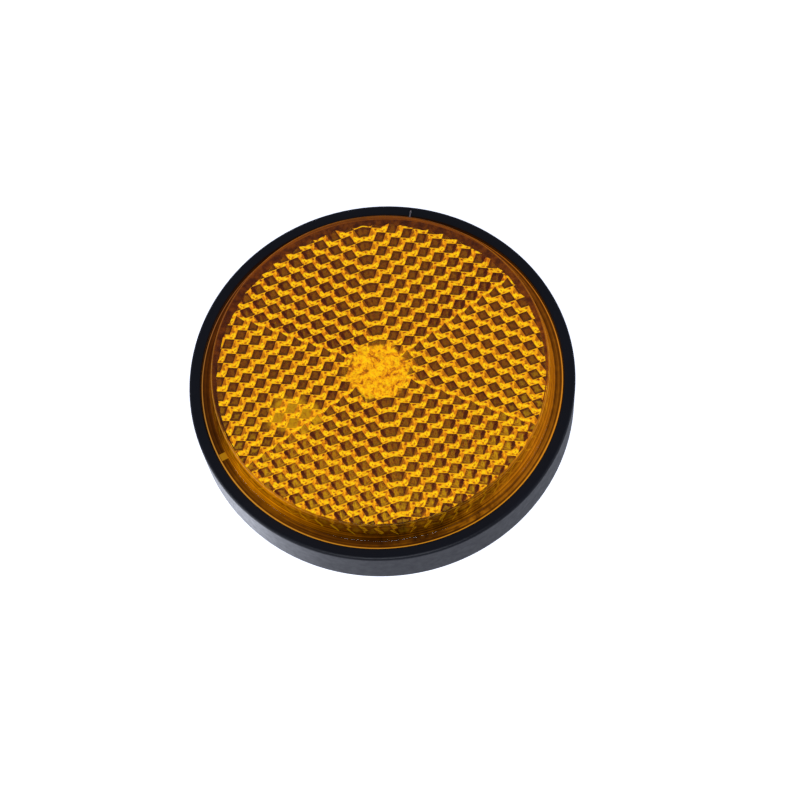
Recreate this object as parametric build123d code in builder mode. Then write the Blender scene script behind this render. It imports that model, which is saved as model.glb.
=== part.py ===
from build123d import *
import math
import os

# Round reflex reflector with a central stud: an amber prismatic lens welded into a
# black plastic housing, fastened through one hole by a captive M6 bolt.
# Frame: origin at the centre of the back rim (the face that seats on the panel),
# +Z along the optical axis, out through the lens. Millimetres.
# R_ is a radius, Z_ a height, AF a width across flats.

# ---- shared --------------------------------------------------------------
FIT = 0.02            # clearance between seated pieces
GAP = 0.03            # play between the loose pieces of the stack
SINK = 0.2            # how far an added feature starts inside its parent
OVERCUT = 1.0         # how far a cut runs past the surface

# ---- housing -------------------------------------------------------------
R_OUT = 30.25         # outer radius at the rim
R_FOOT = R_OUT - 0.25 # outer radius at the back, less the mould draft
Z_RIM_OUT = 8.7       # rim's outer corner
Z_RIM_IN = 8.75       # rim's inner edge
R_RIM_IN = 28.4       # opening in the rim
RIM_BEVEL_WIDTH = 0.15  # bevel on the rim's inner edge
RIM_BEVEL_DEPTH = 0.12
RIM_EDGE = 0.45       # fillet on the rim's outer corner
FOOT_EDGE = 0.8       # fillet on the back outer corner
Z_SEAT = 6.8          # seat under the lens flange
R_CAVITY = 26.3       # air gap behind the lens
Z_FLOOR = 2.9         # inside floor
R_BACK_RECESS = 26.2
Z_BACK_RECESS = 1.2
R_PAD = 8.0           # centre pad in the recess, carries the star lock
Z_PAD = 0.7
R_POCKET_WALL = 7.4   # round wall around the hexagon pocket
Z_POCKET_WALL = 6.6
Z_POCKET = 4.0        # floor of the hexagon pocket
RIB_COUNT = 6
RIB_WIDTH = 1.2
RIB_OVERLAP = 0.8     # extra rib length, shared by the two walls it joins
Z_RIB = 4.6
R_RING_OUT = 12.6     # low ring in the back recess
R_RING_IN = 11.6
Z_RING = 0.5
HOLE_R = 3.1          # stud hole
SEAL_GROOVE_R = 4.7
SEAL_GROOVE_Z = 2.9
NOTCH_ANGLE = 73.8    # index nick in the rim
NOTCH_WIDTH = 0.5
NOTCH_DEPTH = 0.3     # below the rim's inner edge
NOTCH_LENGTH = 1.5    # radial
NOTCH_R = R_RIM_IN + 0.45

# ---- lens ----------------------------------------------------------------
R_FLANGE = 28.3
T_FLANGE = 1.5
FLANGE_EDGE = 0.2
R_WALL_FOOT = 26.9    # lens wall where it leaves the flange
R_WALL_TOP = 26.25
WALL_FOOT_FILLET = 0.25
LENS_PROUD = 4.3      # front face above the rim's inner edge
LENS_EDGE = 0.35      # fillet on the front edge
R_PRISMS = 25.6       # field of prisms on the back of the lens
PRISM_BASE = 2.6      # from the front face down to the shallow ends of the prisms
PRISM_PITCH = 2.5     # across the flats of one hexagonal cube corner
GATE_ANGLE = 200.0    # moulding gate, left as a low rib across the flange
GATE_WIDTH = 1.1
GATE_HEIGHT = 0.3
GATE_LENGTH = R_FLANGE - R_WALL_FOOT - 0.1
GATE_R = (R_WALL_FOOT + R_FLANGE) / 2 - 0.15

Z_FLANGE_TOP = Z_SEAT + T_FLANGE
Z_FRONT = Z_RIM_IN + LENS_PROUD
CELL_EDGE = PRISM_PITCH / math.sqrt(2)
PRISM_DEPTH = 2 * CELL_EDGE / math.sqrt(3)
Z_TIPS = Z_FRONT - PRISM_BASE - PRISM_DEPTH

# ---- fixings, M6 ---------------------------------------------------------
R_SHANK = 6.0 / 2
HEAD_AF = 10.0
HEAD_H = 4.0
HEAD_CONE = ((7.0, -1.21), (4.6, 0.175))  # radius, height from Z_POCKET + HEAD_H
POCKET_AF = HEAD_AF + 0.1
BOLT_LENGTH = 20.0
TIP_CHAMFER = 0.8
R_THREAD_IN_NUT = 2.84   # mean radius of the thread under the washers and the nut
THREAD_STEP = R_SHANK - R_THREAD_IN_NUT
THREAD_FROM = -0.3
SEAL_SIDE_GAP = 0.03
SEAL_CORNER = 0.5
# star lock section: radius, drop below the pad
LOCK_SECTION = (
    (5.6, 0.01), (5.6, 0.31), (4.3, 0.31),
    (3.01, 0.64), (3.01, 0.36), (4.2, 0.01),
)
LOCK_SLOTS = 6
LOCK_SLOT_R = 3.55
LOCK_SLOT_LENGTH = 1.5
LOCK_SLOT_WIDTH = 0.6
R_GASKET_OUT = R_BACK_RECESS - 0.4
R_GASKET_IN = 14.0
GASKET_EDGE = 0.3
PANEL = 2.0              # sheet thickness the nut is drawn for
WASHER_R = 6.0
WASHER_BORE = 3.2        # radius, as are the other bores
WASHER_T = 1.6
WASHER_EDGE = 0.2
SPRING_R = 5.8
SPRING_BORE = 3.1
SPRING_T = 1.5
SPRING_RISE = 0.55
SPRING_TURN = 346        # degrees of coil
SPRING_TRIM = 0.04       # taken off the wire's thickness
NUT_AF = HEAD_AF
NUT_H = 5.0
NUT_BORE = 3.05
NUT_BORE_CHAMFER = 0.35
NUT_FACE_R = 4.75        # flat ring left by the crown chamfers
NUT_CONE_R = 6.2         # foot of the crown cones, outside the hexagon
NUT_CONE_H = 0.84

Z_TIP_END = Z_POCKET - BOLT_LENGTH
Z_HEAD_TOP = Z_POCKET + HEAD_H
Z_WASHER = -PANEL - GAP
Z_SPRING = Z_WASHER - WASHER_T - GAP
Z_NUT = Z_SPRING - SPRING_T - SPRING_RISE - GAP
Z_NUT_END = Z_NUT - NUT_H


def section(points):
    """Closed (radius, height) outline as a face in the XZ plane, ready to revolve."""
    with BuildSketch(Plane.XZ) as outline:
        with BuildLine():
            Polyline(*points, close=True)
        make_face()
    return outline.sketch


def circles(builder, radius):
    """Circular edges of the given radius."""
    edges = builder.edges().filter_by(GeomType.CIRCLE)
    return edges.filter_by(lambda edge: abs(edge.radius - radius) < 0.01)


def make_housing():
    """Shallow black cup."""
    cup_section = section([
        (0, Z_BACK_RECESS),
        (R_BACK_RECESS, Z_BACK_RECESS),
        (R_BACK_RECESS, 0),
        (R_FOOT, 0),
        (R_OUT, Z_RIM_OUT),
        (R_RIM_IN + RIM_BEVEL_WIDTH, Z_RIM_IN),
        (R_RIM_IN, Z_RIM_IN - RIM_BEVEL_DEPTH),
        (R_RIM_IN, Z_SEAT),
        (R_CAVITY, Z_SEAT),
        (R_CAVITY, Z_FLOOR),
        (0, Z_FLOOR),
    ])
    with BuildPart() as housing:
        revolve(cup_section, axis=Axis.Z)
        fillet(circles(housing, R_OUT), radius=RIM_EDGE)
        foot = circles(housing, R_FOOT).filter_by(lambda edge: abs(edge.center().Z) < 0.01)
        fillet(foot, radius=FOOT_EDGE)
        # centre pad on the back
        with BuildSketch(Plane.XY.offset(Z_PAD)):
            Circle(R_PAD)
        extrude(amount=Z_FLOOR - Z_PAD)
        # wall of the hexagon pocket inside
        with BuildSketch(Plane.XY.offset(Z_FLOOR - SINK)):
            Circle(R_POCKET_WALL)
        extrude(amount=Z_POCKET_WALL - Z_FLOOR + SINK)
        # stiffening ribs from the pocket wall out to the cup wall
        with BuildSketch(Plane.XY.offset(Z_FLOOR - SINK)):
            with PolarLocations((R_POCKET_WALL + R_CAVITY) / 2, RIB_COUNT, start_angle=30):
                Rectangle(R_CAVITY - R_POCKET_WALL + RIB_OVERLAP, RIB_WIDTH)
        extrude(amount=Z_RIB - Z_FLOOR + SINK)
        # low ring in the back recess, between the gasket and the pad
        with BuildSketch(Plane.XY.offset(Z_RING)):
            Circle(R_RING_OUT)
            Circle(R_RING_IN, mode=Mode.SUBTRACT)
        extrude(amount=Z_BACK_RECESS - Z_RING + 0.1)
        # hexagon pocket for the bolt head, cut out past the top of its wall
        with BuildSketch(Plane.XY.offset(Z_POCKET)):
            RegularPolygon(radius=POCKET_AF / 2, side_count=6, major_radius=False)
        extrude(amount=Z_POCKET_WALL, mode=Mode.SUBTRACT)
        # seal groove under the head
        with BuildSketch(Plane.XY.offset(SEAL_GROOVE_Z)):
            Circle(SEAL_GROOVE_R)
        extrude(amount=Z_POCKET - SEAL_GROOVE_Z + 0.5, mode=Mode.SUBTRACT)
        # stud hole
        with BuildSketch(Plane.XY.offset(-OVERCUT)):
            Circle(HOLE_R)
        extrude(amount=Z_POCKET + 2 * OVERCUT, mode=Mode.SUBTRACT)
        # index nick across the inner part of the rim
        with BuildSketch(Plane.XY.offset(Z_RIM_IN - NOTCH_DEPTH)):
            with PolarLocations(NOTCH_R, 1, start_angle=NOTCH_ANGLE):
                Rectangle(NOTCH_LENGTH, NOTCH_WIDTH)
        extrude(amount=OVERCUT, mode=Mode.SUBTRACT)
    return housing.part


def make_lens():
    """Flat front, upright wall, thin flange; the back is one flat face at the prism tips."""
    lens_section = section([
        (0, Z_TIPS),
        (R_PRISMS, Z_TIPS),
        (R_PRISMS, Z_SEAT + FIT),
        (R_FLANGE, Z_SEAT + FIT),
        (R_FLANGE, Z_FLANGE_TOP),
        (R_WALL_FOOT, Z_FLANGE_TOP),
        (R_WALL_TOP, Z_FRONT),
        (0, Z_FRONT),
    ])
    with BuildPart() as lens:
        revolve(lens_section, axis=Axis.Z)
        fillet(circles(lens, R_WALL_TOP), radius=LENS_EDGE)
        flange_top = circles(lens, R_FLANGE).filter_by(lambda edge: edge.center().Z > Z_SEAT + 1)
        fillet(flange_top, radius=FLANGE_EDGE)
        fillet(circles(lens, R_WALL_FOOT), radius=WALL_FOOT_FILLET)
        # gate rib
        with BuildSketch(Plane.XY.offset(Z_FLANGE_TOP - SINK)):
            with PolarLocations(GATE_R, 1, start_angle=GATE_ANGLE):
                Rectangle(GATE_LENGTH, GATE_WIDTH)
        extrude(amount=GATE_HEIGHT + SINK)
    return lens.part


def make_stud_bolt():
    """Captive hexagon bolt, head up in the pocket."""
    (cone_r, cone_z), (crown_r, crown_z) = HEAD_CONE
    crown_section = section([
        (0, Z_POCKET - 1),
        (cone_r, Z_POCKET - 1),
        (cone_r, Z_HEAD_TOP + cone_z),
        (crown_r, Z_HEAD_TOP + crown_z),
        (0, Z_HEAD_TOP + crown_z),
    ])
    # narrowed under the washers and the nut, chamfered at the end
    shank_section = section([
        (0, Z_POCKET + 0.5),
        (R_SHANK, Z_POCKET + 0.5),
        (R_SHANK, THREAD_FROM),
        (R_THREAD_IN_NUT, THREAD_FROM - THREAD_STEP),
        (R_THREAD_IN_NUT, Z_NUT_END),
        (R_SHANK, Z_NUT_END - THREAD_STEP),
        (R_SHANK, Z_TIP_END + TIP_CHAMFER),
        (R_SHANK - TIP_CHAMFER, Z_TIP_END),
        (0, Z_TIP_END),
    ])
    with BuildPart() as stud_bolt:
        with BuildSketch(Plane.XY.offset(Z_POCKET + FIT)):
            RegularPolygon(radius=HEAD_AF / 2, side_count=6, major_radius=False)
        extrude(amount=HEAD_H)
        # chamfered crown: keep what lies inside a shallow cone
        revolve(crown_section, axis=Axis.Z, mode=Mode.INTERSECT)
        revolve(shank_section, axis=Axis.Z)
    return stud_bolt.part


def make_stud_seal():
    """O-ring, squeezed under the bolt head."""
    centre = ((R_SHANK + SEAL_GROOVE_R) / 2, (SEAL_GROOVE_Z + Z_POCKET + FIT) / 2)
    width = SEAL_GROOVE_R - R_SHANK - 2 * SEAL_SIDE_GAP
    with BuildPart() as stud_seal:
        with BuildSketch(Plane.XZ):
            with Locations(centre):
                RectangleRounded(width, Z_POCKET - SEAL_GROOVE_Z - FIT, SEAL_CORNER)
        revolve(axis=Axis.Z)
    return stud_seal.part


def make_stud_retainer():
    """Star lock: a thin ring, slotted into six tines that grip the shank."""
    with BuildPart() as stud_retainer:
        revolve(section([(r, Z_PAD - drop) for r, drop in LOCK_SECTION]), axis=Axis.Z)
        with BuildSketch(Plane.XY.offset(-OVERCUT)):
            with PolarLocations(LOCK_SLOT_R, LOCK_SLOTS, start_angle=30):
                SlotOverall(LOCK_SLOT_LENGTH, LOCK_SLOT_WIDTH)
        extrude(amount=3 * OVERCUT, mode=Mode.SUBTRACT)
    return stud_retainer.part


def make_back_gasket():
    """Foam ring in the back recess, rounded on its panel side."""
    with BuildPart() as back_gasket:
        with BuildSketch(Plane.XY.offset(FIT)):
            Circle(R_GASKET_OUT)
            Circle(R_GASKET_IN, mode=Mode.SUBTRACT)
        extrude(amount=Z_BACK_RECESS - 2 * FIT)
        fillet(back_gasket.edges().group_by(Axis.Z)[0], radius=GASKET_EDGE)
    return back_gasket.part


def make_flat_washer():
    with BuildPart() as flat_washer:
        with BuildSketch(Plane.XY.offset(Z_WASHER)):
            Circle(WASHER_R)
            Circle(WASHER_BORE, mode=Mode.SUBTRACT)
        extrude(amount=-WASHER_T)
        chamfer(circles(flat_washer, WASHER_R), length=WASHER_EDGE)
    return flat_washer.part


def make_spring_washer():
    """Split lock washer: nearly one turn of rectangular wire."""
    with BuildPart() as spring_washer:
        with BuildLine() as coil:
            Helix(
                pitch=SPRING_RISE / (SPRING_TURN / 360),
                height=SPRING_RISE,
                radius=(SPRING_R + SPRING_BORE) / 2,
                center=(0, 0, Z_SPRING - SPRING_T / 2 - SPRING_RISE),
            )
        with BuildSketch(Plane(origin=coil.line @ 0, x_dir=(1, 0, 0), z_dir=coil.line % 0)):
            Rectangle(SPRING_R - SPRING_BORE, SPRING_T - SPRING_TRIM)
        sweep(is_frenet=True)
    return spring_washer.part


def make_hex_nut():
    """Nut with both crowns chamfered at 30 degrees."""
    crown_section = section([
        (0, Z_NUT),
        (NUT_FACE_R, Z_NUT),
        (NUT_CONE_R, Z_NUT - NUT_CONE_H),
        (NUT_CONE_R, Z_NUT_END + NUT_CONE_H),
        (NUT_FACE_R, Z_NUT_END),
        (0, Z_NUT_END),
    ])
    with BuildPart() as hex_nut:
        with BuildSketch(Plane.XY.offset(Z_NUT_END)):
            RegularPolygon(radius=NUT_AF / 2, side_count=6, major_radius=False)
        extrude(amount=NUT_H)
        revolve(crown_section, axis=Axis.Z, mode=Mode.INTERSECT)
        with BuildSketch(Plane.XY.offset(Z_NUT_END - OVERCUT)):
            Circle(NUT_BORE)
        extrude(amount=NUT_H + 2 * OVERCUT, mode=Mode.SUBTRACT)
        chamfer(circles(hex_nut, NUT_BORE), length=NUT_BORE_CHAMFER)
    return hex_nut.part


PIECES = {
    "housing": make_housing,
    "lens": make_lens,
    "stud_bolt": make_stud_bolt,
    "stud_seal": make_stud_seal,
    "stud_retainer": make_stud_retainer,
    "back_gasket": make_back_gasket,
    "flat_washer": make_flat_washer,
    "spring_washer": make_spring_washer,
    "hex_nut": make_hex_nut,
}

os.makedirs("parts", exist_ok=True)
for name, make in PIECES.items():
    piece = make()
    piece.label = name
    export_step(piece, f"parts/{name}.step")
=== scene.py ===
# Round amber reflector in a black housing, held by an M6 bolt with nut and washers.
# The axis of the lens and bolt is Z: the flat front of the lens faces +Z and the bolt
# points to -Z. The camera looks down from the -Y side. Lengths are in mm unless noted.
import bpy
import math
import numpy as np
from mathutils import Matrix, Vector


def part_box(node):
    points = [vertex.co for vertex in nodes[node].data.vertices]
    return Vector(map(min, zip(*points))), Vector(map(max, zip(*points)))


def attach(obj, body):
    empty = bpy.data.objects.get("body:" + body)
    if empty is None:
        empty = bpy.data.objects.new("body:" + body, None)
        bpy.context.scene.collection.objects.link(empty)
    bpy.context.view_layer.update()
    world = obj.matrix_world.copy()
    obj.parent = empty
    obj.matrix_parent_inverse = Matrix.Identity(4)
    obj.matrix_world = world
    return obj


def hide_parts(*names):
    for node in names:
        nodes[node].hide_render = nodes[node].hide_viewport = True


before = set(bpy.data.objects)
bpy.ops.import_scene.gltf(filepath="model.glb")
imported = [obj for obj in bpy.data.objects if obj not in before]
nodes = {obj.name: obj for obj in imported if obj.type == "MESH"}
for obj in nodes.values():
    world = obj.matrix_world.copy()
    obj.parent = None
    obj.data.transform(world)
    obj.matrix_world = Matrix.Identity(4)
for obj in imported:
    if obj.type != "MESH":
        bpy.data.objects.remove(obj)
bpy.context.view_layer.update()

MM = 0.001                          # metres in a millimetre

# ---------------------------------------------------------------------------
# driving dimensions
# ---------------------------------------------------------------------------
lens_lo, lens_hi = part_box("lens")
house_lo, house_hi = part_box("housing")
bolt_lo, bolt_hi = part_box("stud_bolt")
nut_lo, nut_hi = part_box("hex_nut")

Z_FRONT = lens_hi.z / MM            # flat front of the lens
Z_UNDER = lens_lo.z / MM            # underside of the flange
Z_FLANGE = Z_UNDER - 0.02 + 1.5     # top of the flange
Z_RIM = house_hi.z / MM             # top of the housing
R_FLANGE = lens_hi.x / MM
R_WALL_FOOT = 26.9                  # outside of the lens wall, at the flange
R_WALL_TOP = 26.25                  # outside of the lens wall, at the front
Z_TIP = bolt_lo.z / MM              # free end of the bolt
Z_HEAD_TOP = bolt_hi.z / MM
Z_NUT_LOW = nut_lo.z / MM
Z_NUT_HIGH = nut_hi.z / MM

# prism field
LENS_STEPS = 240                    # steps round the lens
R_PRISMS = 25.6
PITCH = 2.485                       # between neighbouring prisms
CELL = PITCH / math.sqrt(3)         # centre to corner of a hexagonal cell
SLOPE = math.sqrt(2)                # rise of a cube edge over a cell's radius, per mm
PRISM_BASE = 2.6                    # front face down to the highest prism corners
Z_APEX = Z_FRONT - PRISM_BASE - SLOPE * CELL
FIELD_X, FIELD_Y = 0.24, 0.38       # where the six prism sectors meet
FIELD_LIMIT = R_PRISMS * math.cos(math.pi / LENS_STEPS)

GATE_ANGLE = 200.0                  # degrees from +X
NICK_GLINT_ANGLE = 73.8                   # painted glint on the housing, degrees from +X


# ---------------------------------------------------------------------------
# mesh helpers
# ---------------------------------------------------------------------------
def new_object(name, verts, faces, unit=MM):
    mesh = bpy.data.meshes.new(name)
    mesh.from_pydata([(x * unit, y * unit, z * unit) for x, y, z in verts], [], faces)
    mesh.validate()
    mesh.update()
    ob = bpy.data.objects.new(name, mesh)
    bpy.context.scene.collection.objects.link(ob)
    return ob


def shade(ob, sharp_degrees):
    mesh = ob.data
    mesh.polygons.foreach_set("use_smooth", [True] * len(mesh.polygons))
    mesh.set_sharp_from_angle(angle=math.radians(sharp_degrees))


def arc(centre_r, centre_z, radius, start, end, steps):
    """Points (r, z) on an arc between two angles in degrees."""
    points = []
    for i in range(steps + 1):
        angle = math.radians(start + (end - start) * i / steps)
        points.append((centre_r + radius * math.cos(angle), centre_z + radius * math.sin(angle)))
    return points


# ---------------------------------------------------------------------------
# prism facets: cube corners with their apexes down, in six sectors
# ---------------------------------------------------------------------------
def clip(polygon, side):
    """Keeps the part of a polygon of (x, y, height) on the inner side of a line."""
    normal_x, normal_y, limit = side
    kept = []
    for here, there in zip(polygon, polygon[1:] + polygon[:1]):
        d_here = normal_x * here[0] + normal_y * here[1] - limit
        d_there = normal_x * there[0] + normal_y * there[1] - limit
        if d_here <= 1e-7:
            kept.append(here)
        if (d_here < -1e-7 and d_there > 1e-7) or (d_here > 1e-7 and d_there < -1e-7):
            t = d_here / (d_here - d_there)
            kept.append(tuple(here[k] + (there[k] - here[k]) * t for k in range(3)))
    return kept


def clip_all(polygon, sides):
    for side in sides:
        polygon = clip(polygon, side)
        if len(polygon) < 3:
            return []
    return polygon


def field_side(normal_x, normal_y):
    """A line through the point where the sectors meet."""
    return (normal_x, normal_y, normal_x * FIELD_X + normal_y * FIELD_Y)


def sector_sides(sector):
    start = math.radians(30 + 60 * sector)
    end = math.radians(90 + 60 * sector)
    return (
        field_side(math.sin(start), -math.cos(start)),
        field_side(-math.sin(end), math.cos(end)),
    )


def sector_cells(sector, sides):
    """Centres of the hexagonal cells that may reach into a sector."""
    offset = CELL / 2 if sector % 2 == 0 else -CELL / 2
    span = int(R_PRISMS / PITCH) + 4
    for i in range(-span, span + 1):
        for j in range(-2 * span, 2 * span + 1):
            cx = FIELD_X + offset + i * PITCH * math.cos(math.pi / 6)
            cy = FIELD_Y + PITCH / 2 + i * PITCH / 2 + j * PITCH
            if math.hypot(cx, cy) > R_PRISMS + PITCH:
                continue
            if any(nx * cx + ny * cy - limit > PITCH for nx, ny, limit in sides):
                continue
            yield cx, cy


def whole_facet(cx, cy, tip):
    """One of a cell's three faces, from the apex out to the corner at angle tip."""
    facet = [(cx, cy, 0.0)]
    for turn, rise in ((-60, SLOPE * CELL / 2), (0, SLOPE * CELL), (60, SLOPE * CELL / 2)):
        angle = tip + math.radians(turn)
        facet.append((cx + CELL * math.cos(angle), cy + CELL * math.sin(angle), rise))
    return facet


def doubled_area(polygon):
    area = 0.0
    for (x0, y0, _), (x1, y1, _) in zip(polygon, polygon[1:] + polygon[:1]):
        area += x0 * y1 - x1 * y0
    return area


def prism_facets():
    """Each facet as (polygon of x, y, height above the apexes; its place in the cell)."""
    field_ring = []
    for k in range(LENS_STEPS):
        angle = 2 * math.pi * (k + 0.5) / LENS_STEPS
        field_ring.append((math.cos(angle), math.sin(angle), FIELD_LIMIT))
    facets = []
    for sector in range(6):
        even = sector % 2 == 0
        mirror = 1.0 if even else -1.0
        sides = sector_sides(sector)
        for cx, cy in sector_cells(sector, sides):
            for degrees in (0, 120, 240) if even else (60, 180, 300):
                tip = math.radians(degrees)
                facet = clip_all(whole_facet(cx, cy, tip), sides)
                if facet and max(math.hypot(p[0], p[1]) for p in facet) > FIELD_LIMIT - 1e-6:
                    facet = clip_all(facet, field_ring)
                if not facet:
                    continue
                area = doubled_area(facet)
                if abs(area) > 1e-5:
                    facets.append((facet if area > 0 else facet[::-1], (cx, cy, tip, mirror)))
    return facets


def weld_facets(facets):
    """Joins facet corners that coincide; returns vertices, faces and facet places."""
    verts, index, faces, places = [], {}, [], []
    shifts = (0, -1, 1)

    def vertex(x, y, z):
        key = (round(x * 2e4), round(y * 2e4), round(z * 2e4))
        for dx in shifts:
            for dy in shifts:
                for dz in shifts:
                    near = (key[0] + dx, key[1] + dy, key[2] + dz)
                    if near in index:
                        return index[near]
        index[key] = len(verts)
        verts.append((x, y, z))
        return index[key]

    for polygon, place in facets:
        corners = []
        for x, y, height in polygon:
            v = vertex(x, y, Z_APEX + height)
            if v not in corners:
                corners.append(v)
        if len(corners) >= 3:
            # facets look down, so their corners run clockwise seen from above
            faces.append(corners[::-1])
            places.append(place)
    return verts, faces, places


def field_outline(verts, faces):
    """Vertices round the outside of the field, anticlockwise seen from above."""
    edges = [edge for f in faces for edge in zip(f, f[1:] + f[:1])]
    known = set(edges)
    following = {}
    for a, b in edges:
        if (b, a) not in known:
            following.setdefault(a, b)
    start = max(following, key=lambda v: verts[v][0])
    loop, v = [start], following[start]
    while v != start:
        loop.append(v)
        v = following[v]
    return loop[::-1]


# ---------------------------------------------------------------------------
# lens
# ---------------------------------------------------------------------------
def lens_profile():
    """Outside of the lens as (r, z), from the underside up and over to the front."""
    flange_round = 0.2
    fillet_r = R_WALL_FOOT + 0.27
    fillet = 0.25
    front_round = 0.35
    profile = [(R_FLANGE, Z_UNDER)]
    profile += arc(R_FLANGE - flange_round, Z_FLANGE - flange_round, flange_round, 0, 90, 4)
    profile += [(fillet_r, Z_FLANGE)]
    profile += arc(fillet_r, Z_FLANGE + fillet, fillet, -90, -176, 4)[1:]
    profile += arc(R_WALL_TOP - front_round + 0.03, Z_FRONT - front_round, front_round, 4, 90, 7)
    profile += [(R_WALL_TOP - 1.2, Z_FRONT), (17.0, Z_FRONT), (8.0, Z_FRONT)]
    return profile


def underside_faces(verts, under, outer):
    """Flat ring of triangles between the inner wall and the flange edge."""
    n = len(under)
    angles = [math.atan2(verts[v][1], verts[v][0]) % (2 * math.pi) for v in under]
    first = min(range(n), key=lambda i: angles[i])
    inner = [under[(first + i) % n] for i in range(n)]
    inner_angles = [angles[(first + i) % n] for i in range(n)]
    inner_angles.append(inner_angles[0] + 2 * math.pi)
    done = 99                       # larger than any angle
    faces = []
    i = k = 0
    while i < n or k < LENS_STEPS:
        inner_next = inner_angles[i + 1] if i < n else done
        outer_next = 2 * math.pi * (k + 1) / LENS_STEPS if k < LENS_STEPS else done
        here, across = inner[i % n], outer[k % LENS_STEPS]
        if inner_next <= outer_next:
            faces.append([inner[(i + 1) % n], across, here])
            i += 1
        else:
            faces.append([outer[(k + 1) % LENS_STEPS], across, here])
            k += 1
    return faces


def store_facet_place(ob, places):
    """Facet corners in units of a cell: x from apex to tip, y across, mirrored in odd sectors."""
    mesh = ob.data
    values = np.full((len(mesh.loops), 3), -1.0, np.float32)
    for face, (cx, cy, tip, mirror) in enumerate(places):
        for corner in mesh.polygons[face].loop_indices:
            co = mesh.vertices[mesh.loops[corner].vertex_index].co
            dx, dy = co.x / MM - cx, co.y / MM - cy
            values[corner] = (
                (dx * math.cos(tip) + dy * math.sin(tip)) / CELL,
                mirror * (dy * math.cos(tip) - dx * math.sin(tip)) / CELL,
                0.0,
            )
    attribute = mesh.attributes.new("facet_place", "FLOAT_VECTOR", "CORNER")
    attribute.data.foreach_set("vector", values.ravel())


def build_lens():
    verts, faces, places = weld_facets(prism_facets())
    loop = field_outline(verts, faces)
    # straight inner wall from the field down to the underside
    n = len(loop)
    under = [len(verts) + i for i in range(n)]
    for v in loop:
        verts.append((verts[v][0], verts[v][1], Z_UNDER))
    for i in range(n):
        j = (i + 1) % n
        faces.append([loop[j], under[j], under[i], loop[i]])
    # turned outside, closed by one face in the middle of the front
    rings = []
    for r, z in lens_profile():
        rings.append([len(verts) + k for k in range(LENS_STEPS)])
        for k in range(LENS_STEPS):
            angle = 2 * math.pi * k / LENS_STEPS
            verts.append((r * math.cos(angle), r * math.sin(angle), z))
    for low, high in zip(rings, rings[1:]):
        for k in range(LENS_STEPS):
            m = (k + 1) % LENS_STEPS
            faces.append([low[k], low[m], high[m], high[k]])
    faces.append(rings[-1])
    faces += underside_faces(verts, under, rings[0])
    ob = new_object("lens_prismatic", verts, faces)
    # facet places are stored by face number, so no face may have been dropped
    assert len(ob.data.polygons) == len(faces)
    store_facet_place(ob, places)
    shade(ob, 25)
    return ob


def build_gate():
    """Low rib left by the moulding gate, running outwards across the flange."""
    r_start, r_end = R_WALL_FOOT - 0.05, R_FLANGE - 0.25
    half_width, height, bevel, sunk = 0.55, 0.3, 0.1, -0.1
    angle = math.radians(GATE_ANGLE)
    out_x, out_y = math.cos(angle), math.sin(angle)
    section = [
        (-half_width, sunk), (-half_width, height - bevel), (-half_width + bevel, height),
        (half_width - bevel, height), (half_width, height - bevel), (half_width, sunk),
    ]
    verts = []
    for r in (r_start, r_end - bevel, r_end):
        for side, z in section:
            if r == r_end:
                z = min(z, height - bevel)
            verts.append((out_x * r - out_y * side, out_y * r + out_x * side, Z_FLANGE + z))
    n = len(section)
    faces = [list(range(n))[::-1], list(range(2 * n, 3 * n))]
    for k in range(2):
        for i in range(n):
            j = (i + 1) % n
            faces.append([k * n + i, k * n + j, (k + 1) * n + j, (k + 1) * n + i])
    ob = new_object("lens_gate_mark", verts, [face[::-1] for face in faces])
    shade(ob, 30)
    return ob


# ---------------------------------------------------------------------------
# M6 bolt and nut with a true helical thread, 1 mm pitch
# ---------------------------------------------------------------------------
THREAD_STEPS = 48                   # steps round, and steps along each pitch


def thread_radius(turns, major, minor):
    """Radius of the thread form: root 12, flank 15, crest 6 and flank 15 forty-eighths."""
    t = (turns % 1.0) * 48
    if t < 6 or t >= 42:
        return minor
    if t < 21:
        return minor + (major - minor) * (t - 6) / 15
    if t <= 27:
        return major
    return major - (major - minor) * (t - 27) / 15


def ring(radius, height):
    """Ring of points; radius may depend on (angle, step), height on the radius."""
    points = []
    for k in range(THREAD_STEPS):
        angle = 2 * math.pi * k / THREAD_STEPS
        r = radius(angle, k) if callable(radius) else radius
        z = height(r) if callable(height) else height
        points.append((r * math.cos(angle), r * math.sin(angle), z))
    return points


def hexagon(across_flats, inset=0.0):
    def radius(angle, _step):
        from_flat = (math.degrees(angle) + 30) % 60 - 30
        return across_flats / 2 / math.cos(math.radians(30 - abs(from_flat))) - inset
    return radius


def rings_mesh(name, rings, closed=False):
    """Skins a stack of rings; closed joins the last to the first instead of capping."""
    n, count = THREAD_STEPS, len(rings)
    verts = [point for points in rings for point in points]
    faces = []
    for j in range(count if closed else count - 1):
        a, b = j * n, ((j + 1) % count) * n
        for k in range(n):
            m = (k + 1) % n
            # split along the helix direction
            faces.append([a + k, a + m, b + m])
            faces.append([a + k, b + m, b + k])
    if not closed:
        faces.append(list(range(n))[::-1])
        faces.append([(count - 1) * n + k for k in range(n)])
    ob = new_object(name, verts, faces)
    shade(ob, 24)
    return ob


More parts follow.
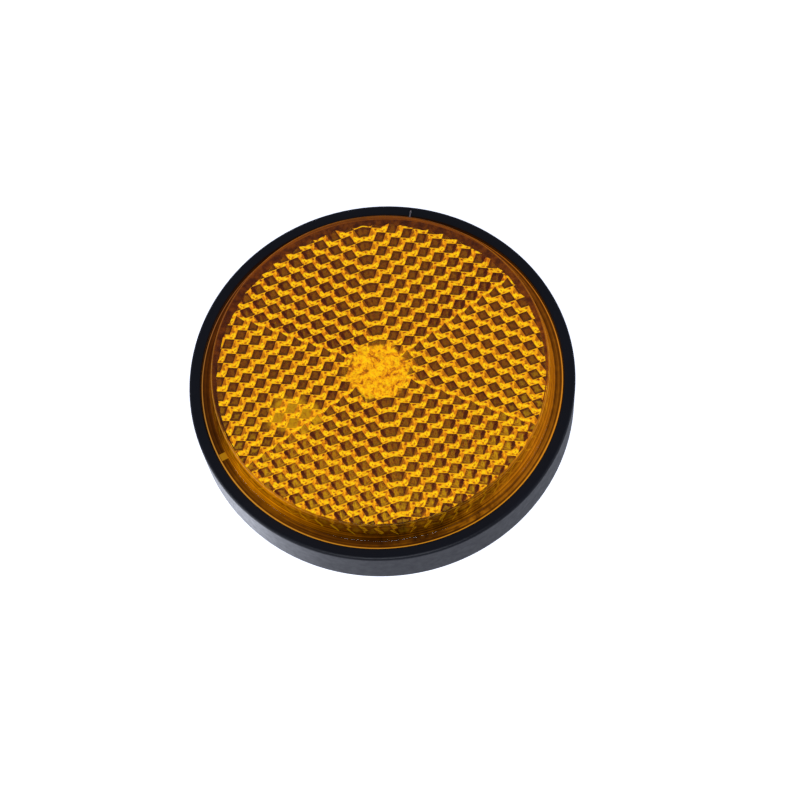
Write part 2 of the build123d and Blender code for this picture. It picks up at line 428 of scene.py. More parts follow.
def build_bolt():
    major, minor = 2.97, 2.42
    r_tip = 2.2                     # from here the point widens at 45 degrees
    r_shank = 2.98
    z_runout, runout_length = -0.6, 1.4
    z_thread_end = 0.9
    head_height, across_flats = 4.0, 9.96
    r_chamfer, chamfer_degrees = 4.62, 28
    z_head = Z_HEAD_TOP - head_height
    rows = []
    for i in range(int(round((z_thread_end - Z_TIP) * THREAD_STEPS)) + 1):
        z = Z_TIP + i / THREAD_STEPS
        cone = r_tip + (z - Z_TIP)

        def threaded(_angle, k):
            r = thread_radius((i - k) / THREAD_STEPS, major, minor)
            if z > z_runout:
                r = r + (r_shank - r) * min(1.0, (z - z_runout) / runout_length)
            return min(r, cone)

        rows.append(ring(threaded, z))

    def chamfer(r):
        drop = max(0.0, r - r_chamfer) * math.tan(math.radians(chamfer_degrees))
        return Z_HEAD_TOP - 0.05 - drop

    flats = hexagon(across_flats)
    head = [                        # radius, height
        (r_shank, z_head - 0.25),
        (3.12, z_head - 0.02),
        (4.45, z_head),
        (hexagon(across_flats, 0.12), z_head),
        (flats, z_head + 0.12),
        (flats, lambda r: chamfer(r) - 0.06),
        (hexagon(across_flats, 0.06), chamfer),
        (r_chamfer, Z_HEAD_TOP - 0.05),
        (4.45, Z_HEAD_TOP),
        # shallow dish in the top of the head
        (3.3, Z_HEAD_TOP - 0.01),
        (2.9, Z_HEAD_TOP - 0.16),
        (1.5, Z_HEAD_TOP - 0.20),
    ]
    rows += [ring(radius, height) for radius, height in head]
    return rings_mesh("stud_bolt_threaded", rows)


def build_nut():
    major, minor = 3.06, 2.53
    across_flats, r_chamfer, edge = 9.97, 4.75, 0.05
    r_mouth, r_face, r_face_edge = 3.35, 4.65, 4.8

    def rise(r):
        return max(0.0, r - r_chamfer) * math.tan(math.radians(30))

    def low(r):
        return Z_NUT_LOW + rise(r)

    def high(r):
        return Z_NUT_HIGH - rise(r)

    flats = hexagon(across_flats)
    flats_inset = hexagon(across_flats, edge)
    outside = [                     # radius, height, going up
        (r_mouth, Z_NUT_LOW),
        (r_face, Z_NUT_LOW),
        (r_face_edge, low),
        (flats_inset, low),
        (flats, lambda r: low(r) + edge),
        (flats, lambda r: high(r) - edge),
        (flats_inset, high),
        (r_face_edge, high),
        (r_face, Z_NUT_HIGH),
        (r_mouth, Z_NUT_HIGH),
    ]
    rows = [ring(radius, height) for radius, height in outside]
    # down through the thread, in step with the bolt's, with a 45 degree sink at each end
    for i in range(1, int(round((Z_NUT_HIGH - Z_NUT_LOW) * THREAD_STEPS))):
        z = Z_NUT_HIGH - i / THREAD_STEPS
        step = round((z - Z_TIP) * THREAD_STEPS)
        sink = r_mouth - min(Z_NUT_HIGH - z, z - Z_NUT_LOW)

        def threaded(_angle, k):
            return max(thread_radius((step - k) / THREAD_STEPS, major, minor), sink)

        rows.append(ring(threaded, z))
    return rings_mesh("hex_nut_threaded", rows, closed=True)


lens = build_lens()
gate = build_gate()
bolt = build_bolt()
nut = build_nut()
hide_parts("lens")
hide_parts("stud_bolt")
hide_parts("hex_nut")
for ob, body, slot in (
    (lens, "reflector", "amber_lens"),
    (gate, "reflector", "amber_lens"),
    (bolt, "reflector", "zinc_steel"),
    (nut, "nut", "zinc_steel"),
):
    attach(ob, body)


# ---------------------------------------------------------------------------
# shader helpers; values may be numbers, tuples or sockets
# ---------------------------------------------------------------------------
def srgb(red, green, blue):
    """Display colour 0-255 to scene-linear."""
    linear = []
    for c in (red, green, blue):
        c /= 255
        linear.append(c / 12.92 if c <= 0.04045 else ((c + 0.055) / 1.055) ** 2.4)
    return tuple(linear) + (1,)


def grey(value):
    return (value, value, value, 1.0)


class Nodes:
    """Node tree of a material or world, emptied but for its output."""

    def __init__(self, owner, output_kind="ShaderNodeOutputMaterial"):
        owner.use_nodes = True
        self.tree = owner.node_tree
        self.tree.nodes.clear()
        self.output = self.add(output_kind)

    def feed(self, socket, value):
        if isinstance(value, bpy.types.NodeSocket):
            self.tree.links.new(value, socket)
        else:
            socket.default_value = value

    def set(self, node, inputs):
        for key, value in inputs.items():
            self.feed(node.inputs[key], value)

    def add(self, kind, inputs=None, **settings):
        node = self.tree.nodes.new(kind)
        for name, value in settings.items():
            setattr(node, name, value)
        self.set(node, inputs or {})
        return node

    def mix_shader(self, factor, first, second):
        return self.add("ShaderNodeMixShader", {0: factor, 1: first, 2: second}).outputs[0]

    def emission(self, colour, strength):
        inputs = {"Color": colour, "Strength": strength}
        return self.add("ShaderNodeEmission", inputs).outputs[0]

    def finish(self, surface):
        self.feed(self.output.inputs[0], surface)


class Surface(Nodes):
    """A new material with a principled surface and object coordinates."""

    def __init__(self, name):
        self.material = bpy.data.materials.new(name)
        super().__init__(self.material)
        self.principled = self.add("ShaderNodeBsdfPrincipled")
        self.finish(self.principled.outputs[0])
        self.coordinates = self.add("ShaderNodeTexCoord").outputs["Object"]

    def noise(self, scale, detail=3.0, roughness=0.5, stretch=None, vector=None):
        if stretch:
            mapping = {"Vector": self.coordinates, "Scale": stretch}
            vector = self.add("ShaderNodeMapping", mapping).outputs[0]
        return self.add("ShaderNodeTexNoise", {
            "Scale": scale, "Detail": detail, "Roughness": roughness,
            "Vector": vector or self.coordinates,
        }).outputs

    def ramp(self, factor, stops):
        node = self.add("ShaderNodeValToRGB", {"Fac": factor})
        elements = node.color_ramp.elements
        while len(elements) > 1:
            elements.remove(elements[-1])
        elements[0].position, elements[0].color = stops[0]
        for position, colour in stops[1:]:
            elements.new(position).color = colour
        return node.outputs[0]

    def azimuth_ramp(self, stops):
        """Colour round the axis; stops are (degrees from +X, colour)."""
        x, y, _ = self.separate(self.coordinates)
        turns = self.math("DIVIDE", self.math("ARCTAN2", y, x), 2 * math.pi)
        turns = self.math("FRACT", self.math("ADD", turns, 1.0))
        return self.ramp(turns, [(degrees / 360, colour) for degrees, colour in stops])

    def azimuth_colours(self, table):
        """Colour round the axis from rows of degrees, red, green, blue (0-255)."""
        return self.azimuth_ramp([(degrees, srgb(*rgb)) for degrees, *rgb in table])

    def azimuth_greys(self, table):
        """Grey round the axis from rows of degrees, level."""
        return self.azimuth_ramp([(degrees, grey(level)) for degrees, level in table])

    def bump(self, height, strength, distance, normal=None):
        inputs = {"Strength": strength, "Distance": distance, "Height": height}
        if normal is not None:
            inputs["Normal"] = normal
        return self.add("ShaderNodeBump", inputs).outputs[0]

    def math(self, operation, *values):
        return self.add("ShaderNodeMath", dict(enumerate(values)), operation=operation).outputs[0]

    def times(self, first, *others):
        for other in others:
            first = self.math("MULTIPLY", first, other)
        return first

    def vector(self, operation, *values):
        node = self.add("ShaderNodeVectorMath", dict(enumerate(values)), operation=operation)
        return node.outputs["Value" if operation in ("LENGTH", "DOT_PRODUCT") else 0]

    def separate(self, vector):
        return self.add("ShaderNodeSeparateXYZ", {0: vector}).outputs

    def millimetres(self):
        return self.vector("MULTIPLY", self.coordinates, (1000, 1000, 1000))

    def map_range(self, value, source=(0.0, 1.0), target=(0.0, 1.0), kind="LINEAR"):
        return self.add("ShaderNodeMapRange", {
            "From Min": source[0], "From Max": source[1],
            "To Min": target[0], "To Max": target[1], "Value": value,
        }, interpolation_type=kind).outputs[0]

    def smooth(self, value, zero_at, one_at):
        return self.map_range(value, (zero_at, one_at), kind="SMOOTHSTEP")

    def window(self, value, low, high, soft):
        """1 between low and high, 0 outside, with soft ends."""
        return self.times(
            self.smooth(value, low - soft, low + soft),
            self.smooth(value, high + soft, high - soft),
        )

    def ragged(self, value, noise, amount):
        """Shifts a value up and down by noise, to break up an outline."""
        return self.math("ADD", value, self.times(self.math("SUBTRACT", noise, 0.5), amount))

    def mix(self, factor, first, second, blend="MIX"):
        node = self.add("ShaderNodeMix", data_type="RGBA", blend_type=blend)
        # sockets 6, 7 and output 2 are the colour ones
        self.set(node, {"Factor": factor, 6: first, 7: second})
        return node.outputs[2]

    def spots(self, colour, place, table):
        """Lays soft spots over a colour; the rows are as in the facet tables below."""
        for at, size, rgb, amount, softness in table:
            away = self.vector("SUBTRACT", place, (at[0], at[1], 0))
            away = self.vector("MULTIPLY", away, (1 / size[0], 1 / size[1], 0))
            inside = self.smooth(self.vector("LENGTH", away), 1.0, 1.0 - softness)
            colour = self.mix(self.times(inside, amount), colour, srgb(*rgb))
        return colour


# ---------------------------------------------------------------------------
# amber acrylic: clear glass with the light trapped in the lens added as glow
# ---------------------------------------------------------------------------
# painted light and shade spots in a facet's glow: (along, across), (half length, half width),
# colour, amount, softness
BRIGHT_SPOTS = (
    ((0.45, 0.42), (0.27, 0.19), (150, 82, 0), 0.9, 0.55),
    ((0.55, -0.36), (0.30, 0.20), (148, 62, 0), 0.95, 0.55),
    ((0.5, 0.03), (0.52, 0.15), (255, 228, 58), 1.0, 0.55),
    ((0.62, -0.72), (0.24, 0.22), (255, 206, 60), 1.0, 0.55),
)
PALE_SPOTS = (((0.30, 0.36), (0.40, 0.38), (186, 122, 0), 1.0, 0.55),)
DEEP_SPOTS = (((0.24, 0.42), (0.44, 0.42), (158, 88, 2), 1.0, 0.5),)
HALF_SPOTS = (
    ((0.5, 0.04), (0.18, 0.18), (140, 66, 0), 0.8, 0.55),
    ((0.70, 0.38), (0.15, 0.46), (255, 190, 44), 0.95, 0.55),
    ((0.32, -0.34), (0.44, 0.38), (255, 226, 40), 1.0, 0.35),
    ((0.36, -0.36), (0.13, 0.13), (186, 116, 0), 0.9, 0.55),
    ((0.52, -0.86), (0.22, 0.22), (92, 42, 0), 0.9, 0.55),
)

# glow round the axis: degrees from +X, red, green, blue
WALL_GLOW = (
    (0, 160, 92, 14), (28, 134, 76, 10), (55, 116, 64, 8), (90, 108, 60, 8),
    (125, 122, 66, 9), (152, 114, 60, 8), (172, 104, 56, 8), (194, 84, 44, 4),
    (207, 168, 100, 4), (226, 156, 92, 2), (243, 94, 52, 0), (262, 58, 28, 0),
    (284, 62, 32, 0), (300, 112, 64, 6), (322, 168, 98, 14), (360, 160, 92, 14),
)
FLANGE_TOP_GLOW = (
    (0, 98, 54, 6), (28, 92, 46, 6), (55, 90, 42, 8), (90, 84, 36, 6),
    (125, 92, 40, 8), (152, 70, 30, 4), (194, 60, 28, 0), (207, 84, 44, 0),
    (226, 104, 58, 0), (243, 90, 48, 0), (262, 84, 44, 0), (284, 88, 48, 0),
    (300, 104, 58, 4), (322, 120, 68, 8), (340, 110, 62, 6), (360, 98, 54, 6),
)
EDGE_LINE_GLOW = (
    (0, 216, 136, 40), (40, 170, 92, 24), (62, 100, 46, 12), (120, 100, 46, 12),
    (150, 150, 92, 50), (200, 200, 138, 48), (300, 218, 144, 30), (360, 216, 136, 40),
)
# strengths round the axis of the painted upright light streaks and of the painted highlight line
# round the top of the wall: degrees from +X, level
UPRIGHT_STREAKS = ((0, 0.15), (255, 0.2), (270, 1.0), (300, 1.0), (312, 0.2), (360, 0.15))
CREST_LINE = (
    (0, 0.8), (60, 0.6), (90, 0.2), (135, 0.4), (150, 0.9),
    (208, 0.8), (226, 0.1), (318, 0.1), (338, 0.7), (360, 0.8),
)


def clear_amber(s):
    """The glass itself: refraction, absorption and a faint waviness."""
    s.set(s.principled, {
        "Base Color": (1.0, 0.93, 0.66, 1),
        "Transmission Weight": 1.0,
        "IOR": 1.47,
        "Roughness": 0.0,
    })
    absorption = (0.004, 0.055, 0.75)   # red, green, blue, per mm
    strongest = max(absorption)
    volume = s.add("ShaderNodeVolumeAbsorption", {
        "Color": tuple(1 - a / strongest for a in absorption) + (1,),
        "Density": strongest * 1000,
    })
    s.feed(s.output.inputs["Volume"], volume.outputs[0])
    waviness = s.noise(scale=180, detail=2.0)["Fac"]
    s.feed(s.principled.inputs["Normal"], s.bump(waviness, strength=0.02, distance=0.0001))


def half_lit_facet(s, place, across, squareness):
    """Painted glow of facets half way round: a painted bright lobe on one side, a painted darker
    link on the other.
    """
    pale = s.spots(srgb(240, 172, 14), place, PALE_SPOTS)
    deep = s.spots(srgb(224, 148, 8), place, DEEP_SPOTS)
    # painted thin dark shade line along the edge that runs on to the next dark facet
    off_edge = s.vector("DOT_PRODUCT", place, (0.866, -0.5, 0))
    line = s.times(s.smooth(off_edge, 0.28, 0.15), s.smooth(across, -0.06, 0.04))
    deep = s.mix(line, deep, srgb(70, 26, 0))
    colour = s.mix(s.smooth(squareness, 0.542, 0.566), pale, deep)
    return s.spots(colour, place, HALF_SPOTS)


def dark_facet(s, along, across, flat, radius, y):
    """Painted glow of facets seen squarely: a painted dark edge round a brown middle, with
    painted olive and yellow reflections in places.
    """
    # 0 in the middle of a facet, 1 on its edges
    from_middle = s.math("ABSOLUTE", s.math("SUBTRACT", along, 0.5))
    rim = s.math(
        "ADD", s.times(from_middle, 2.0), s.times(s.math("ABSOLUTE", across), 1.155)
    )
    colour = s.mix(s.smooth(rim, 0.75, 0.35), srgb(74, 28, 0), srgb(116, 64, 8))
    # painted olive reflection towards the outside of the field on the -Y side
    outer = s.times(s.smooth(radius, 17.5, 24.0), s.smooth(y, 2.0, -9.0))
    colour = s.mix(s.times(outer, s.smooth(rim, 0.75, 0.3)), colour, srgb(160, 128, 14))
    # painted yellow reflection, a ragged oval on the -X side
    patch = s.vector("SUBTRACT", flat, (-14.3, -5.1, 0))
    patch = s.vector("LENGTH", s.vector("MULTIPLY", patch, (1 / 4.4, 1 / 3.2, 0)))
    patch = s.ragged(patch, s.noise(scale=420, detail=2.0)["Fac"], amount=1.2)
    return s.mix(s.smooth(patch, 1.05, 0.75), colour, srgb(196, 156, 0))


def facet_colour(s, flat, radius, y, squareness):
    """Glow of a facet by how squarely it meets the ray inside the lens."""
    stored = s.add("ShaderNodeAttribute", attribute_name="facet_place").outputs["Vector"]
    # the place is broken up a little by noise
    wobble = s.noise(scale=1300, detail=2.0, roughness=0.6)["Color"]
    wobble = s.vector("SUBTRACT", wobble, (0.5, 0.5, 0.5))
    wobble = s.vector("MULTIPLY", wobble, (0.55, 0.55, 0))
    place = s.vector("ADD", stored, wobble)
    along, across, _ = s.separate(place)
    bright = s.spots(srgb(252, 200, 6), place, BRIGHT_SPOTS)
    half = half_lit_facet(s, place, across, squareness)
    dark = dark_facet(s, along, across, flat, radius, y)
    colour = s.mix(s.smooth(squareness, 0.50, 0.44), half, bright)
    return s.mix(s.smooth(squareness, 0.62, 0.68), colour, dark)


def bolt_head_mask(s, flat):
    """Ragged hexagon of prisms in front of the bolt head."""
    distance = None
    for degrees in (30, 90, 150):
        angle = math.radians(degrees)
        from_centre = s.vector("SUBTRACT", flat, (-0.3, 0.3, 0))
        d = s.vector("DOT_PRODUCT", from_centre, (math.cos(angle), math.sin(angle), 0))
        d = s.math("ABSOLUTE", d)
        distance = d if distance is None else s.math("MAXIMUM", distance, d)
    noise = s.noise(scale=1500, detail=2.0, roughness=0.7)["Fac"]
    return s.smooth(s.ragged(distance, noise, amount=1.4), 4.7, 4.1)


def facet_glow(s, flat, radius, y, squareness, head):
    colour = facet_colour(s, flat, radius, y, squareness)
    # the bolt head throws light back through the prisms in front of it
    head_noise = s.noise(scale=820, detail=3.0, roughness=0.7)["Fac"]
    head_colour = s.ramp(head_noise, [
        (0.36, srgb(150, 84, 0)), (0.43, srgb(232, 158, 0)),
        (0.52, srgb(255, 206, 0)), (0.68, srgb(255, 226, 50)),
    ])
    colour = s.mix(s.times(head, 0.93), colour, head_colour)
    # fine painted speckle of light over everything that glows
    grain = s.ramp(s.noise(scale=1900, detail=2.0, roughness=0.6)["Fac"], [
        (0.36, (0.72, 0.52, 0.3, 1)), (0.48, (1, 1, 1, 1)), (0.66, (1.12, 1.16, 1.5, 1)),
    ])
    return s.emission(s.mix(0.8, colour, grain, "MULTIPLY"), strength=1.12)


def streaked_rim(s, wall_colour, radius, x, y, z):
    """Flange and wall colour with the light running round in lines."""
    top_colour = s.azimuth_colours(FLANGE_TOP_GLOW)
    colour = s.mix(s.smooth(z, Z_FLANGE + 0.10, Z_FLANGE + 0.05), wall_colour, top_colour)
    # painted rings of light: noise fine in radius and height, drawn out round the axis
    hoop = s.add("ShaderNodeCombineXYZ", {
        0: s.times(radius, 2.6),
        1: s.times(s.math("COSINE", s.math("ARCTAN2", y, x)), 1.2),
        2: s.times(z, 2.6),
    }).outputs[0]
    hoops = s.ramp(s.noise(scale=1.0, detail=3.0, roughness=0.62, vector=hoop)["Fac"], [
        (0.38, (0.30, 0.24, 0.15, 1)), (0.47, (0.80, 0.78, 0.7, 1)),
        (0.53, (1.1, 1.1, 1.0, 1)), (0.62, (2.1, 2.2, 1.9, 1)),
    ])
    colour = s.mix(0.8, colour, hoops, "MULTIPLY")
    # painted upright streaks of light, strongest on the -Y side
    upright = s.noise(scale=700, detail=2.0, roughness=0.6, stretch=(1.0, 1.0, 0.12))["Fac"]
    streaks = s.ramp(upright, [
        (0.36, (0.45, 0.42, 0.4, 1)), (0.5, (1, 1, 1, 1)), (0.66, (1.6, 1.7, 1.5, 1)),
    ])
    return s.mix(s.azimuth_greys(UPRIGHT_STREAKS), colour, streaks, "MULTIPLY")


def rim_glow(s, wall_colour, radius, x, y, z):
    """Glow of the flange, wall and gate rib, and its share against the glass."""
    colour = streaked_rim(s, wall_colour, radius, x, y, z)
    line = s.azimuth_colours(EDGE_LINE_GLOW)
    # painted highlight line on the flange edge and a painted dark shade line just inside it
    colour = s.mix(s.window(radius, R_FLANGE - 0.17, R_FLANGE + 0.2, 0.04), colour, line)
    inner_line = s.window(radius, R_FLANGE - 0.46, R_FLANGE - 0.28, 0.06)
    colour = s.mix(s.times(inner_line, 0.8), colour, srgb(62, 28, 0))
    # painted highlight line round the top of the wall
    crest = s.window(z, Z_FRONT - 0.42, Z_FRONT - 0.12, 0.06)
    colour = s.mix(s.times(crest, s.azimuth_greys(CREST_LINE)), colour, line)
    on_gate = s.times(
        s.math("GREATER_THAN", radius, R_WALL_FOOT + 0.17),
        s.window(z, Z_FLANGE + 0.06, Z_FLANGE + 0.5, 0.01),
    )
    # the gate rib gets a painted amber glow
    colour = s.mix(on_gate, colour, srgb(172, 118, 14))
    on_top = s.times(
        s.math("GREATER_THAN", radius, R_WALL_FOOT + 0.02),
        s.window(z, Z_FLANGE - 0.22, Z_FLANGE + 0.03, 0.01),
    )
    on_wall = s.times(
        s.math("GREATER_THAN", radius, R_WALL_TOP - 0.32),
        s.window(z, Z_FLANGE + 0.06, Z_FRONT - 0.02, 0.02),
    )
    share = s.math("MAXIMUM", s.times(on_top, 0.80), s.times(on_wall, 0.80))
    share = s.math("MAXIMUM", share, s.times(on_gate, 0.75))
    return s.emission(colour, strength=1.1), share


def underside_glow(s, wall_colour):
    # painted glow on the underside of the lens, mottled by noise
    mottle = s.ramp(s.noise(scale=900, detail=3.0, roughness=0.65)["Fac"], [
        (0.36, (0.35, 0.30, 0.2, 1)), (0.5, (0.62, 0.60, 0.5, 1)),
        (0.64, (1.05, 1.15, 0.9, 1)),
    ])
    colour = s.mix(1.0, wall_colour, mottle, "MULTIPLY")
    inputs = {"Color": colour}
    return s.add("ShaderNodeEmission", inputs).outputs[0]


def amber():
    s = Surface("amber_acrylic")
    clear_amber(s)
    # where on the lens, in mm
    position = s.millimetres()
    x, y, z = s.separate(position)
    flat = s.vector("MULTIPLY", position, (1, 1, 0))
    radius = s.vector("LENGTH", flat)
    on_facet = s.times(
        s.math("LESS_THAN", z, Z_FRONT - PRISM_BASE + 0.05),
        s.math("GREATER_THAN", z, Z_APEX - 0.05),
        s.math("LESS_THAN", radius, R_PRISMS - 0.02),
    )
    geometry = s.add("ShaderNodeNewGeometry").outputs
    facing = s.vector("DOT_PRODUCT", geometry["Incoming"], geometry["True Normal"])
    squareness = s.math("ABSOLUTE", facing)
    head = bolt_head_mask(s, flat)
    glow = facet_glow(s, flat, radius, y, squareness, head)
    # the glow gives way a little to clear glass where a facet lets light through
    share = s.map_range(squareness, source=(0.68, 0.60), target=(0.72, 0.88))
    share = s.math("MAXIMUM", share, s.times(head, 0.88))
    shader = s.mix_shader(s.times(share, on_facet), s.principled.outputs[0], glow)

    wall_colour = s.azimuth_colours(WALL_GLOW)
    glow, share = rim_glow(s, wall_colour, radius, x, y, z)
    shader = s.mix_shader(share, shader, glow)

    on_underside = s.math("LESS_THAN", z, Z_UNDER + 0.03)
    glow = underside_glow(s, wall_colour)
    s.finish(s.mix_shader(s.times(on_underside, 0.8), shader, glow))
    return s.material


# ---------------------------------------------------------------------------
# other materials
# ---------------------------------------------------------------------------
def nick_glint_mask(s):
    """Mask of a painted glint, a short upright pale line on the outside of the housing near its
    top.
    """
    position = s.millimetres()
    z = s.separate(position)["Z"]
    angle = math.radians(NICK_GLINT_ANGLE)
    out_x, out_y = math.cos(angle), math.sin(angle)
    along = s.vector("DOT_PRODUCT", position, (out_x, out_y, 0))
    across = s.math("ABSOLUTE", s.vector("DOT_PRODUCT", position, (-out_y, out_x, 0)))
    return s.times(
        s.math("LESS_THAN", across, 0.11),
        s.math("GREATER_THAN", along, R_FLANGE + 0.15),
        s.window(z, Z_RIM - 0.35, Z_RIM - 0.15, 0.01),
    )


def black_abs():
    s = Surface("black_abs")
    grain = s.noise(scale=900, detail=4.0, roughness=0.6)["Fac"]
    tone = s.ramp(s.noise(scale=60, detail=3.0)["Fac"], [
        (0.3, (0.0030, 0.0038, 0.0080, 1)), (0.7, (0.0050, 0.0062, 0.0125, 1)),
    ])
    fine = s.bump(grain, strength=0.12, distance=0.00004)
    swell = s.noise(scale=220, detail=3.0)["Fac"]
    s.set(s.principled, {
        # the pale colour inside the mask is a painted glint on the black plastic
        "Base Color": s.mix(nick_glint_mask(s), tone, (0.72, 0.73, 0.78, 1)),
        "Roughness": s.ramp(grain, [(0.3, grey(0.30)), (0.7, grey(0.42))]),
        "Normal": s.bump(swell, strength=0.08, distance=0.00008, normal=fine),
        "IOR": 1.5,
    })
    return s.material


def metal(name, dark, light, smoothest, roughest):
    """Metal with mottled colour, grain and fine lines across the Z axis."""
    s = Surface(name)
    grain = s.noise(scale=700, detail=5.0, roughness=0.65)["Fac"]
    mottle = s.noise(scale=120, detail=3.0)["Fac"]
    fine = s.bump(grain, strength=0.15, distance=0.00004)
    lines = s.noise(scale=300, detail=2.0, stretch=(1, 1, 14))["Fac"]
    s.set(s.principled, {
        "Base Color": s.ramp(mottle, [(0.25, dark), (0.75, light)]),
        "Roughness": s.ramp(grain, [(0.3, grey(smoothest)), (0.7, grey(roughest))]),
        "Metallic": 1.0,
        "Normal": s.bump(lines, strength=0.10, distance=0.00006, normal=fine),
    })
    return s.material


def rubber():
    s = Surface("nbr_rubber")
    grain = s.noise(scale=500, detail=4.0, roughness=0.6)["Fac"]
    s.set(s.principled, {
        "Base Color": s.ramp(grain, [
            (0.3, (0.012, 0.012, 0.012, 1)), (0.7, (0.028, 0.027, 0.026, 1)),
        ]),
        "Roughness": 0.62,
        "Normal": s.bump(grain, strength=0.25, distance=0.00006),
    })
    return s.material


def foam():
    s = Surface("closed_cell_foam")
    cells = s.add("ShaderNodeTexVoronoi", {"Scale": 2600, "Vector": s.coordinates})
    s.set(s.principled, {
        "Base Color": s.ramp(s.noise(scale=150, detail=3.0)["Fac"], [
            (0.3, (0.030, 0.030, 0.033, 1)), (0.7, (0.060, 0.060, 0.064, 1)),
        ]),
        "Roughness": 0.9,
        "Normal": s.bump(cells.outputs["Distance"], strength=0.6, distance=0.00025),
    })
    return s.material


def assign(ob, material):
    ob.data.materials.clear()
    ob.data.materials.append(material)


amber_acrylic = amber()
black_plastic = black_abs()
zinc_plate = metal(
    "zinc_plate", dark=(0.60, 0.62, 0.66, 1), light=(0.78, 0.78, 0.79, 1),
    smoothest=0.22, roughest=0.36,
)
spring_steel = metal(
    "spring_steel", dark=(0.34, 0.35, 0.38, 1), light=(0.50, 0.50, 0.52, 1),
    smoothest=0.28, roughest=0.45,
)
seal_rubber = rubber()
gasket_foam = foam()

for ob, material in (
    (lens, amber_acrylic),
    (gate, amber_acrylic),
    (bolt, zinc_plate),
    (nut, zinc_plate),
    (nodes["housing"], black_plastic),
    (nodes["stud_seal"], seal_rubber),
    (nodes["stud_retainer"], spring_steel),
    (nodes["back_gasket"], gasket_foam),
    (nodes["flat_washer"], zinc_plate),
    (nodes["spring_washer"], spring_steel),
):
    assign(ob, material)

# ---------------------------------------------------------------------------
# floor, light, camera
# ---------------------------------------------------------------------------
FLOOR_HALF = 900
FLOOR_Z = Z_TIP - 0.05

# floor glow away from the camera, strongest towards -X: degrees from +X, strength
CARD_GLOW = (
    (0, 0.14), (175, 0.30), (192, 1.5), (208, 1.7), (222, 0.9),
    (240, 0.34), (262, 0.20), (300, 0.18), (360, 0.14),
)


def paper():
    s = Surface("paper_floor")
    tone = s.ramp(s.noise(scale=30, detail=3.0)["Fac"], [(0.3, grey(0.86)), (0.7, grey(0.88))])
    camera_ray = s.add("ShaderNodeLightPath").outputs["Is Camera Ray"]
    # even glow for the camera; for all other rays the card's glow drives the low end
    glow = s.map_range(camera_ray, target=(0.14, 1.05))
    s.feed(glow.node.inputs["To Min"], s.azimuth_greys(CARD_GLOW))
    s.set(s.principled, {
        "Base Color": tone,
        "Roughness": 0.8,
        "Emission Color": (0.90, 0.94, 1.08, 1),
        "Emission Strength": glow,
    })
    # clear from underneath, so that the back of the object can be looked at
    backfacing = s.add("ShaderNodeNewGeometry").outputs["Backfacing"]
    clear = s.add("ShaderNodeBsdfTransparent").outputs[0]
    s.finish(s.mix_shader(backfacing, s.principled.outputs[0], clear))
    return s.material


def build_floor():
    corners = ((-1, -1), (1, -1), (1, 1), (-1, 1))
    verts = [(x * FLOOR_HALF, y * FLOOR_HALF, FLOOR_Z) for x, y in corners]
    ob = new_object("floor", verts, [[0, 1, 2, 3]])
    assign(ob, paper())


def build_world(scene):
    """Dim bluish light all round, with a pale backdrop for the camera alone."""
    world = bpy.data.worlds.new("studio")
    scene.world = world
    w = Nodes(world, "ShaderNodeOutputWorld")
    light = w.add("ShaderNodeBackground", {"Color": (0.86, 0.94, 1.2, 1), "Strength": 0.16})
    backdrop = w.add("ShaderNodeBackground", {"Color": (1, 1, 1, 1), "Strength": 0.92})
    camera_ray = w.add("ShaderNodeLightPath").outputs["Is Camera Ray"]
    w.finish(w.mix_shader(camera_ray, light.outputs[0], backdrop.outputs[0]))


def softbox(name, azimuth, elevation, width, height, radiance, distance=1.0):
    """Glowing panel facing the object; angles in degrees, lengths in metres."""
    a, e = math.radians(azimuth), math.radians(elevation)
    out = Vector((math.cos(e) * math.cos(a), math.cos(e) * math.sin(a), math.sin(e)))
    side = Vector((0, 0, 1)).cross(out).normalized()
    up = out.cross(side)
    centre = out * distance
    verts = [
        tuple(centre + side * (sx * width / 2) + up * (sy * height / 2))
        for sx, sy in ((-1, -1), (1, -1), (1, 1), (-1, 1))
    ]
    ob = new_object(name, verts, [[0, 1, 2, 3]], unit=1.0)
    material = bpy.data.materials.new(name)
    n = Nodes(material)
    n.finish(n.emission((0.93, 0.97, 1.1, 1), radiance))
    assign(ob, material)


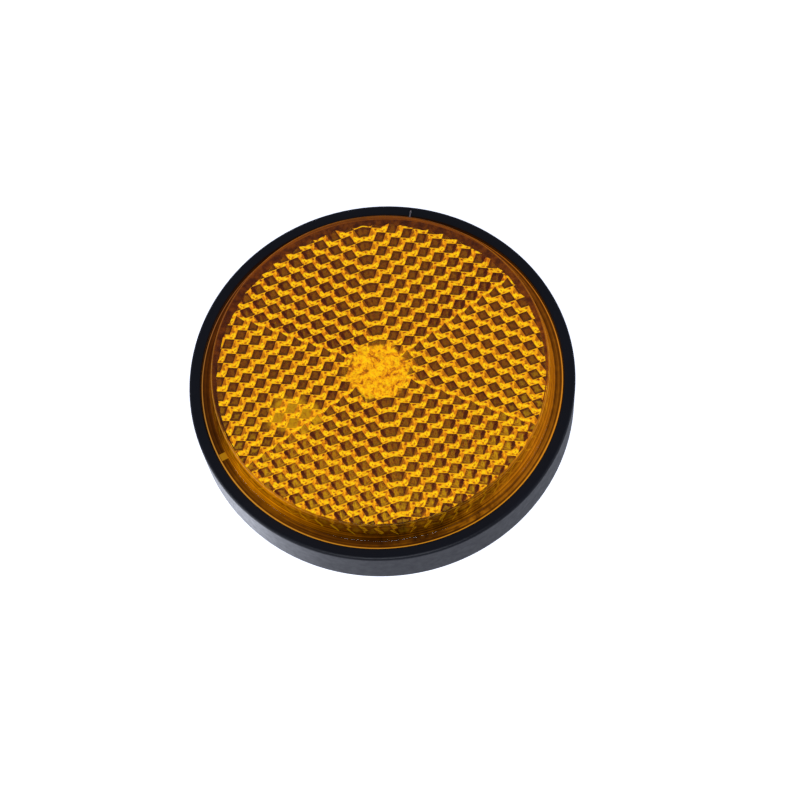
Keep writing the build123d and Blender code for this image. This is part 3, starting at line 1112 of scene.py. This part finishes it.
def build_camera(scene, elevation, roll, azimuth, distance, target_z, offset, focal_length):
    """Camera aimed at target_z on the axis, then turned to move the target off centre.

    Angles are in degrees. offset is the target's place to the right of and above the
    middle of the view, as tangents of its angles. Directions are rows of right, up, forward.
    """
    el, ro, az = math.radians(elevation), math.radians(roll), math.radians(azimuth)
    position = np.array([0.0, -math.cos(el) * distance, target_z + math.sin(el) * distance])
    forward = np.array([0.0, math.cos(el), -math.sin(el)])
    right = np.array([1.0, 0.0, 0.0])
    up = np.cross(right, forward)
    axes = np.array([
        math.cos(ro) * right + math.sin(ro) * up,
        -math.sin(ro) * right + math.cos(ro) * up,
        forward,
    ])
    # shortest rotation from the middle of the view to the target's place in it
    target = np.array([offset[0], offset[1], 1.0])
    target /= np.linalg.norm(target)
    middle = np.array([0.0, 0.0, 1.0])
    axis = np.cross(middle, target)
    sine, cosine = np.linalg.norm(axis), middle @ target
    skew = np.array([
        [0, -axis[2], axis[1]],
        [axis[2], 0, -axis[0]],
        [-axis[1], axis[0], 0],
    ])
    axes = (np.eye(3) + skew + skew @ skew * ((1 - cosine) / (sine * sine))) @ axes
    # swing the whole camera round Z
    swing = np.array([
        [math.cos(az), -math.sin(az), 0],
        [math.sin(az), math.cos(az), 0],
        [0, 0, 1],
    ])
    position = swing @ position
    axes = axes @ swing.T

    data = bpy.data.cameras.new("camera")
    data.sensor_width = 36.0
    data.lens = focal_length
    data.clip_start = 0.01
    data.clip_end = 10
    ob = bpy.data.objects.new("camera", data)
    scene.collection.objects.link(ob)
    matrix = Matrix.Identity(4)
    for i in range(3):
        matrix[i][0] = axes[0][i]
        matrix[i][1] = axes[1][i]
        matrix[i][2] = -axes[2][i]
        matrix[i][3] = position[i] * MM
    ob.matrix_world = matrix
    scene.camera = ob


scene = bpy.context.scene
build_floor()
build_world(scene)
softbox("softbox_key", azimuth=262, elevation=52, width=0.7, height=0.34, radiance=3.0)
softbox("softbox_left", azimuth=196, elevation=22, width=0.5, height=0.5, radiance=1.6)
softbox("softbox_right", azimuth=345, elevation=20, width=0.4, height=0.4, radiance=0.8)
build_camera(
    scene, elevation=65.90, roll=-9.31, azimuth=1.42, distance=410.0, target_z=Z_RIM,
    offset=(-0.0070443988, 0.0086055898), focal_length=118.179,
)

scene.view_settings.view_transform = "Standard"
scene.view_settings.look = "None"
# many bounces, for light passed from prism to prism
scene.cycles.max_bounces = 32
scene.cycles.glossy_bounces = 28
scene.cycles.transmission_bounces = 28
scene.cycles.transparent_max_bounces = 16
scene.cycles.diffuse_bounces = 3
